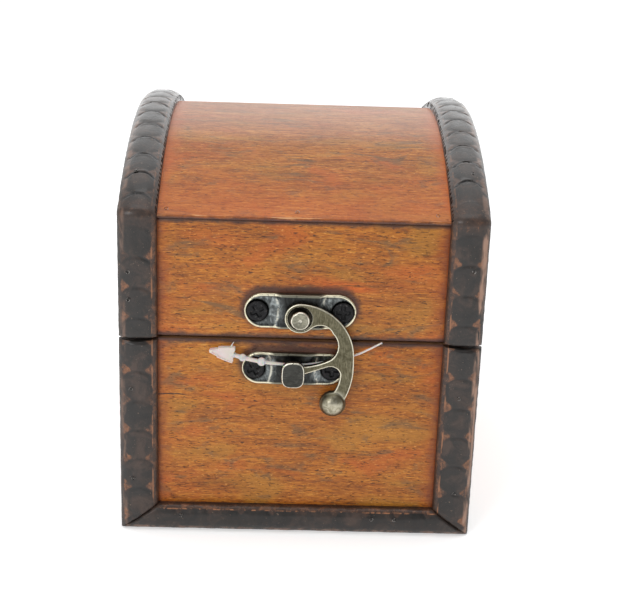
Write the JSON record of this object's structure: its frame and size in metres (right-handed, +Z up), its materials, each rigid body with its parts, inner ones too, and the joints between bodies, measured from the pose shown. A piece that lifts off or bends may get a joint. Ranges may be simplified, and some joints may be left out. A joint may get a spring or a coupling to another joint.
{
  "type": "money box",
  "caption": "Small wooden treasure-chest money box: vaulted hinged lid, domed corner strips, rear coin slot and a swing-hook latch on the front.",
  "frame": {"origin": "centre of the underside, on the surface that the box stands on", "axes": "+Z up, +X to the right seen from the front, +Y to the back; the latch faces -Y"},
  "size_m": [0.092, 0.1166, 0.1032],
  "materials": {
    "panel_wood": "orange-brown stained softwood board, satin",
    "strip_wood": "stamped moulding, stained brown-black, glossy, rubbed through to orange at the edges",
    "latch_bronze": "antique bronze plating, worn bright on the rims",
    "screw_black": "blackened steel, worn",
    "hinge_brass": "antique bronze plating",
    "brad_steel": "dull steel brad heads",
    "nylon": "translucent moulded nylon"
  },
  "bodies": {
    "base": {"base_back_board": "panel_wood", "base_back_foot_strip": "strip_wood", "base_back_left_strip": "strip_wood", "base_back_right_strip": "strip_wood", "base_bottom_board": "panel_wood", "base_front_board": "panel_wood", "base_front_brads": "brad_steel", "base_front_foot_strip": "strip_wood", "base_front_left_strip": "strip_wood", "base_front_right_strip": "strip_wood", "base_left_back_strip": "strip_wood", "base_left_board": "panel_wood", "base_left_foot_strip": "strip_wood", "base_left_front_strip": "strip_wood", "base_right_back_strip": "strip_wood", "base_right_board": "panel_wood", "base_right_foot_strip": "strip_wood", "base_right_front_strip": "strip_wood", "catch_plate": "latch_bronze", "catch_post": "latch_bronze", "catch_screws": "screw_black", "hinge_base_screws": "hinge_brass", "hinge_left_base_leaf": "hinge_brass", "hinge_left_pin": "hinge_brass", "hinge_right_base_leaf": "hinge_brass", "hinge_right_pin": "hinge_brass", "tag_fastener": "nylon"},
    "lid": {"hinge_left_lid_leaf": "hinge_brass", "hinge_lid_screws": "hinge_brass", "hinge_right_lid_leaf": "hinge_brass", "latch_plate": "latch_bronze", "latch_rivet": "latch_bronze", "latch_screws": "screw_black", "lid_back_board": "panel_wood", "lid_back_left_strip": "strip_wood", "lid_back_right_strip": "strip_wood", "lid_front_board": "panel_wood", "lid_front_brads": "brad_steel", "lid_front_left_strip": "strip_wood", "lid_front_right_strip": "strip_wood", "lid_left_arch_strip": "strip_wood", "lid_left_back_strip": "strip_wood", "lid_left_board": "panel_wood", "lid_left_front_strip": "strip_wood", "lid_left_side_arch": "strip_wood", "lid_right_arch_strip": "strip_wood", "lid_right_back_strip": "strip_wood", "lid_right_board": "panel_wood", "lid_right_front_strip": "strip_wood", "lid_right_side_arch": "strip_wood", "lid_top_panel": "panel_wood", "lid_vault_brads": "brad_steel"},
    "hook": {"latch_hook": "latch_bronze"}
  },
  "joints": [
    {"name": "lid_hinge", "type": "hinge", "parent": "base", "child": "lid", "pos_m": [0, 0.0556, 0.054], "axis": [-1, 0, 0], "range_deg": [0, 100]},
    {"name": "hook_pivot", "type": "hinge", "parent": "lid", "child": "hook", "pos_m": [-0.00035, -0.0565, 0.0609], "axis": [0, -1, 0], "range_deg": [0, 100]}
  ]
}
